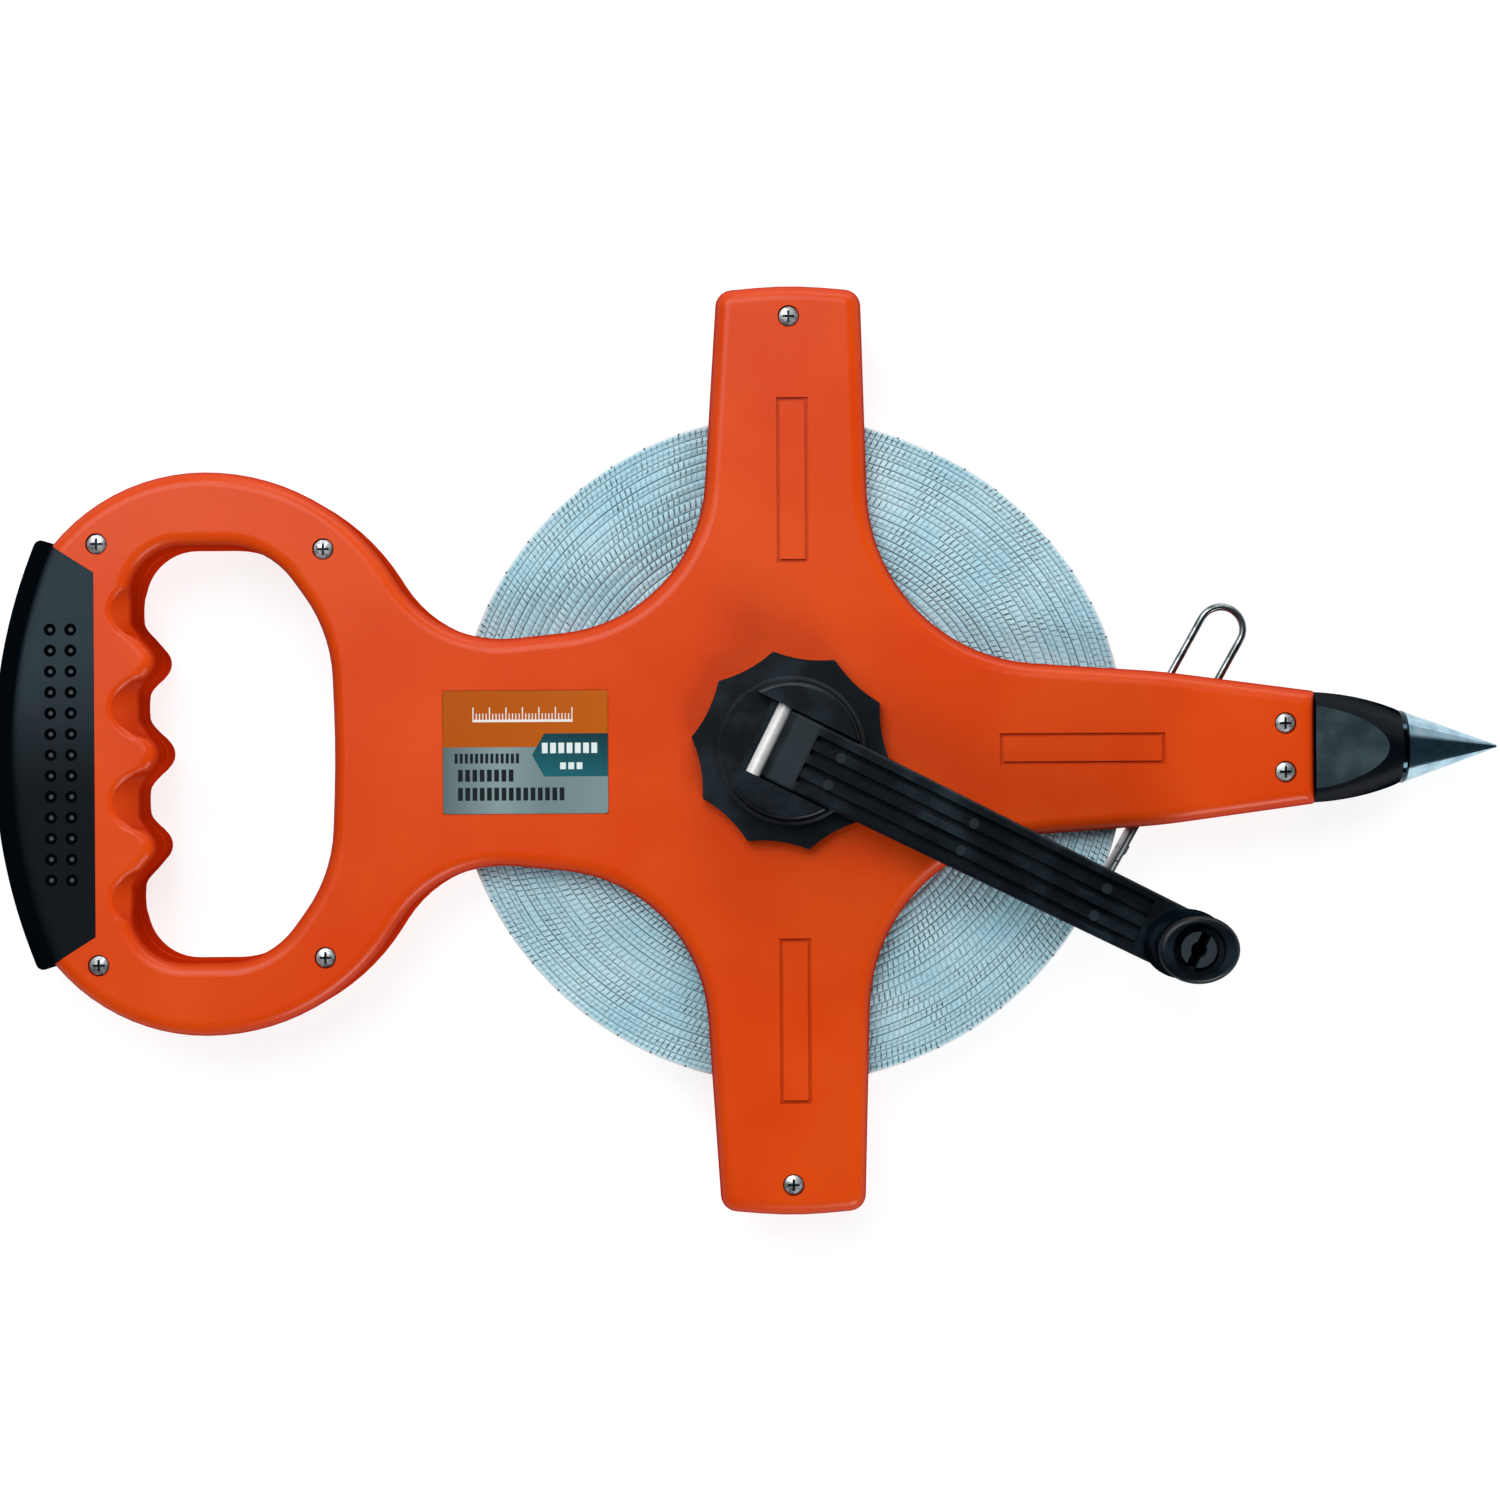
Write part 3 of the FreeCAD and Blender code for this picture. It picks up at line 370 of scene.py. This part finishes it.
flag_point = (0.54, 0.476)
flag_half_height = 0.175
from_middle = (up - flag_point[1]).size()
flag = (across > flag_point[0] + 0.42 * from_middle) * (from_middle < flag_half_height)
print_light = blocks(0.60, 0.95, 0.49, 0.575, 0.05, 0.7) + blocks(0.71, 0.86, 0.36, 0.415, 0.05, 0.7)
film = scale.mix(film, paint(236, 232, 224))
film = print_dark.mix(film, paint(22, 30, 34))
flag_shade = 0.6 * (up - 0.3) / 0.35 + 0.4 * across
film = flag.mix(film, flag_shade.mix(paint(28, 110, 120), paint(14, 52, 62)))
film = print_light.mix(film, paint(226, 236, 236))
surface(place, {"Base Color": film, "Roughness": 0.3 + 0.15 * brushed, "Specular IOR Level": 0.12})
clothe("label_plate", label_film)

# ---------------------------------------------------------------------------------------------------
# The nose piece and the ground spike. A black moulded nose with a matt facet on each face, glossy round
# the sides; the spike is a plated steel cone screwed into it, over a brass bush.
nose_black, place = new_finish("nose_black")
# The flat facets are matt; their pale mottled grey is painted sheen on the black plastic.
facet = upright(place, 0.985, 0.96)
cloud = place.noise(0.007, 4.0)
surface(place, {
    "Base Color": facet.mix(paint(2, 8, 15), cloud.step(0.3, 0.75).mix(paint(32, 47, 52), paint(56, 72, 76))),
    "Roughness": 0.18 + 0.3 * facet + 0.1 * cloud,
    "Normal": (facet * place.noise(0.0006, 2.0)).bump(0.00004, 0.5),
    "Specular IOR Level": 0.2,
}, upright(place, 0.4, 0.97))
clothe("nose_socket", nose_black)


def plating(name, metallic, roughness, bright, dull, collar_end=None):
    """Plated metal, hazed in places, faintly turned; painted shade darkens a collar ending at X collar_end.
    """
    material, place = new_finish(name)
    haze = place.noise(0.004, 4.0, 0.6)
    turning = place.stretched(1.0, 0.02, 0.02).noise(0.0004, 2.0)
    colour = haze.step(0.35, 0.7).mix(bright, dull)
    if collar_end:
        # Painted shade darkens the collar and dims the lamps' reflections in it.
        colour = (place.along("X") < collar_end).mix(colour, paint(40, 54, 62))
    surface(place, {
        "Base Color": colour,
        "Metallic": metallic,
        "Roughness": roughness + 0.1 * haze,
        "Normal": turning.bump(0.00002, 0.3),
    })
    return material


spike_collar_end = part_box("nose_socket")[1].x + 1.6 * MM
spike_bright, spike_dull = paint(176, 206, 220), paint(140, 172, 188)
clothe("spike", plating("bright_plating", 1.0, 0.06, spike_bright, spike_dull, spike_collar_end))
clothe("wire_hook", plating("hook_wire", 1.0, 0.2, paint(150, 156, 158), paint(84, 90, 92)))
clothe("hinge_pin", plating("ground_pin", 0.15, 0.4, paint(246, 246, 244), paint(228, 229, 228)))
clothe("spike_insert", plating("bush_brass", 1.0, 0.25, paint(190, 150, 80), paint(160, 120, 60)))

# ---------------------------------------------------------------------------------------------------
# The drum: a pale grey moulded spool with a web and two thin flanges, hidden by the frame except where
# the tape is wound.
spool_grey, place = new_finish("spool_grey")
cloud = place.noise(0.01, 3.0)
surface(place, {"Base Color": cloud.mix(paint(150, 156, 158), paint(168, 174, 176)), "Roughness": 0.5,
                "Normal": place.noise(0.0008, 2.0).bump(0.00004, 0.5)})
clothe("drum_core", spool_grey)
clothe("tape_anchor", spool_grey)

# ---------------------------------------------------------------------------------------------------
# The wound tape: coated woven tape on edge, layer on layer. The edges stand a little uneven, the pack is
# not quite round, and single layers sink between their neighbours. Each edge shows its cover's stitches;
# the gaps between layers are darkened by painted shade.
winding = np.random.default_rng(11)
coil_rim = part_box("tape_coil")[1].x - 0.02 * MM
coil_bore = 26.2 * MM
tape_low, tape_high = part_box("tape_coil")[0].z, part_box("tape_coil")[1].z
flat_spots = ([0, 22, 40, 54, 66, 90, 108, 200, 220, 240, 270, 292, 308, 330, 360],
              [0.15, 0.0, 0.7, 1.0, 1.5, 0.7, 0.0, 0.0, 0.3, 0.6, 0.8, 1.0, 0.8, 0.4, 0.15])
layers = 29
steps_round = 480
stitch_pitch = 1.6 * MM
rim_heights = (0.35, 0.6, 6.25, 11.9, 12.15)

layer_width = winding.uniform(0.72, 1.28, layers)
layer_share = np.concatenate([[0.0], np.cumsum(layer_width)]) / layer_width.sum()
layer_edge = coil_bore + layer_share * (coil_rim - coil_bore)
round_angle = np.arange(steps_round) * 2 * math.pi / steps_round
flatness = np.interp(np.degrees(round_angle), *flat_spots) * MM


def layer_side(seed):
    """Radius, depth below the tape's edge and ring coordinate of one face's points, from the bore out."""
    chance = np.random.default_rng(seed)
    group_start = np.arange(0, layers + 6, 5)
    group = np.interp(np.arange(layers), group_start, chance.uniform(0.0, 0.35, len(group_start)))
    sunk = (group + chance.uniform(0.0, 0.16, layers)) * MM
    wave = [chance.uniform(0, 2 * math.pi, 2) for _ in range(layers)]
    radius, depth, ring = [], [], []
    for layer in range(layers):
        inner, outer = layer_edge[layer], layer_edge[layer + 1]
        slow, quick = wave[layer]
        ripple = 0.05 * MM * (1 + np.sin(3 * round_angle + slow) * np.sin(5 * round_angle + quick))
        for share, drop in ((0.0, 0.34), (0.2, 0.03), (0.8, 0.0)):
            radius.append(np.full(steps_round, inner + share * (outer - inner)))
            depth.append(sunk[layer] + ripple + drop * MM)
            ring.append(layer + share)
    return radius, depth, ring


def wound_tape():
    """Closed ring of layers: lower face out, rim, upper face in, bore."""
    rows = []
    for seed, sign, edge_height in ((3, 1, tape_low), (5, -1, tape_high)):
        radius, depth, ring = layer_side(seed)
        points = [(r, edge_height + sign * d, v) for r, d, v in zip(radius, depth, ring)]
        if sign == 1:
            rows += points
            rows += [(np.full(steps_round, coil_rim), np.full(steps_round, edge_height + h * MM), layers)
                     for h in rim_heights]
        else:
            rows += reversed(points)
    vertices = []
    for radius, z, _ in rows:
        pulled = radius - flatness * (radius / coil_rim) ** 3
        height = z + 0 * radius
        vertices.append(np.stack([pulled * np.cos(round_angle), pulled * np.sin(round_angle), height], 1))
    count = len(rows)
    vertices = np.concatenate(vertices)
    faces, marks, uses = [], [], []
    for row in range(count):
        following = (row + 1) % count
        ring_here, ring_next = rows[row][2], rows[following][2]
        on_rim = ring_here >= layers - 0.25 and ring_next >= layers - 0.25
        layer = min(int(min(ring_here, ring_next) + 0.001), layers - 1)
        around = round(2 * math.pi * layer_edge[layer + 1] / stitch_pitch)
        phase = (layer * 0.37) % 1.0
        for step in range(steps_round):
            after = (step + 1) % steps_round
            faces.append((row * steps_round + step, row * steps_round + after,
                          following * steps_round + after, following * steps_round + step))
            start, end = step / steps_round * around + phase, (step + 1) / steps_round * around + phase
            marks += [start, ring_here, end, ring_here, end, ring_next, start, ring_next]
        uses += [1 if on_rim else 0] * steps_round
    mesh = bpy.data.meshes.new("wound_tape")
    mesh.from_pydata(vertices.tolist(), [], faces)
    mesh.uv_layers.new(name="stitches").data.foreach_set("uv", np.array(marks, np.float32))
    mesh.polygons.foreach_set("material_index", np.array(uses, np.int32))
    mesh.polygons.foreach_set("use_smooth", np.ones(len(faces), bool))
    mesh.update()
    return mesh


tape_edge, place = new_finish("tape_edge")
thread = place.node("UVMap", {"uv_map": "stitches"}, {})
ring = thread.along("Y").cycle()
layer = thread.along("Y").maths("FLOOR")
cell = (thread.along("X") + 0.45 * ring).cycle()
uneven = place.noise(0.018, 3.0)
fuzz = place.noise(0.0006, 3.0)
# Painted shade along the gaps between layers.
gap_shade = ring.step(0.11, 0.02) + ring.step(0.91, 0.99)
gap_shade_strength = 0.4 + 0.8 * layer.chance() + 0.25 * uneven
middle_line = ring.within(0.44, 0.53) * ((layer + 0.5).chance() > 0.45) * 0.45
stitch = cell.step(0.06, 0.2) * cell.step(0.46, 0.3) * ring.step(0.08, 0.2) * ring.step(0.94, 0.8)
stitch_strength = 0.2 + 0.5 * place.noise(0.009, 3.0).step(0.4, 0.62) + 0.2 * (layer + 0.25).chance()
speck = place.noise(0.0011, 2.0).step(0.58, 0.7)
dark = (gap_shade * gap_shade_strength + middle_line + stitch * stitch_strength + 0.3 * speck).maths("MINIMUM", 1.0)
cover = (uneven * 0.6 + fuzz * 0.5).step(0.3, 0.85).mix(paint(162, 212, 228), paint(210, 238, 247))
surface(place, {
    "Base Color": dark.mix(cover, paint(46, 72, 86)),
    "Roughness": 0.6,
    "Normal": (fuzz * 0.5 - dark).bump(0.00022, 0.8),
    "Specular IOR Level": 0.3,
})

tape_face, place = new_finish("tape_face")
length = place.along("Y").maths("ARCTAN2", place.along("X")) * (coil_rim / MM)
from_edge = (tape_high - place.along("Z")) / MM
fuzz = place.noise(0.0006, 3.0)
ticks = ((length / 2).cycle() < 0.14) * from_edge.within(0.5, 3.0)
ticks = ticks + ((length / 10).cycle() < 0.05) * (from_edge < 6.5)
surface(place, {
    "Base Color": ticks.mix(fuzz.mix(paint(206, 220, 224), paint(228, 236, 238)), paint(40, 48, 54)),
    "Roughness": 0.42,
    "Normal": fuzz.bump(0.00006, 0.6),
})

coil = linked("wound_tape", wound_tape())
coil.data.materials.append(tape_edge)
coil.data.materials.append(tape_face)
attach(coil, "drum")
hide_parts("tape_coil")
clothe("tape_tail", tape_face)

# ---------------------------------------------------------------------------------------------------
# Crank hub, arm and knob: one family of black nylon mouldings, satin and a little rubbed; their pale patches
# are partly painted sheen, and the arm's hinge carries a painted highlight. Round ejector marks stand in
# two rows between the arm's ribs.


def nylon(place, marks=None):
    """Black moulded nylon with pale rubs that are partly painted sheen, a little paler where marks is 1."""
    cloud = place.noise(0.012, 4.0)
    grain = place.noise(0.0006, 2.0)
    # Pale rubs and cloud, partly painted sheen.
    rub_and_sheen = place.stretched(1.0, 5.0, 1.0).noise(0.004, 5.0, 0.7).step(0.66, 0.78)
    black = (cloud.step(0.45, 0.7) * 0.45 + rub_and_sheen * 0.55).mix(paint(5, 13, 19), paint(38, 54, 62))
    surface(place, {
        "Base Color": marks.mix(black, paint(44, 54, 58)) if marks else black,
        "Roughness": 0.24 + 0.14 * cloud,
        "Normal": (grain + 0.5 * rub_and_sheen).bump(0.00005, 0.4),
        "Specular IOR Level": 0.24,
    }, upright(place, 0.1, 0.8))


crank_black, place = new_finish("crank_black")
nylon(place)
clothe("crank_hub", crank_black)
clothe("crank_knob", crank_black)

arm_black, place = new_finish("arm_black")
knob_middle = (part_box("crank_knob")[0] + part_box("crank_knob")[1]) / 2
stud_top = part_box("crank_arm")[1].z - 0.5 * MM
arm_line = Vector((knob_middle.x, knob_middle.y)).normalized()
down_arm = (place.along("X") * arm_line.x + place.along("Y") * arm_line.y) / MM
over_arm = (place.along("Y") * arm_line.x - place.along("X") * arm_line.y) / MM
first_mark = 12.4
mark_pitch = 38.4
mark_row_half = 3.87
mark = (down_arm - first_mark) / mark_pitch
along_mark = (mark - mark.maths("ROUND")) * mark_pitch
over_mark = over_arm.size() - mark_row_half
dots = (along_mark * along_mark + over_mark * over_mark).step(2.3, 1.5) * 0.6
dots = dots * (down_arm < first_mark + 2.2 * mark_pitch)
# Painted highlight where the arm's curved hinge catches the light.
hinge_highlight = down_arm.step(-3.5, -2.0) * down_arm.step(5.5, 3.5) * 0.7
# Paler here: the ejector dots, the hinge's painted highlight and the stud's top.
nylon(place, dots + hinge_highlight + (place.along("Z") > stud_top))
clothe("crank_arm", arm_black)

# ---------------------------------------------------------------------------------------------------
# Steel sheet parts: the axle's washer and the folded clip on the tape's end. Both are cut from rolled strip,
# dull grey with fine lines along the roll; the clip is riveted through the tape.
sheet_steel, place = new_finish("sheet_steel")
drawn = place.stretched(1.0, 1.0, 12.0).noise(0.003, 4.0)
surface(place, {"Base Color": drawn.mix(paint(128, 132, 135), paint(84, 89, 93)), "Metallic": 0.85,
                "Roughness": 0.24 + 0.2 * drawn})
clothe("axle_washer", sheet_steel)
clothe("tape_end_clamp", sheet_steel)
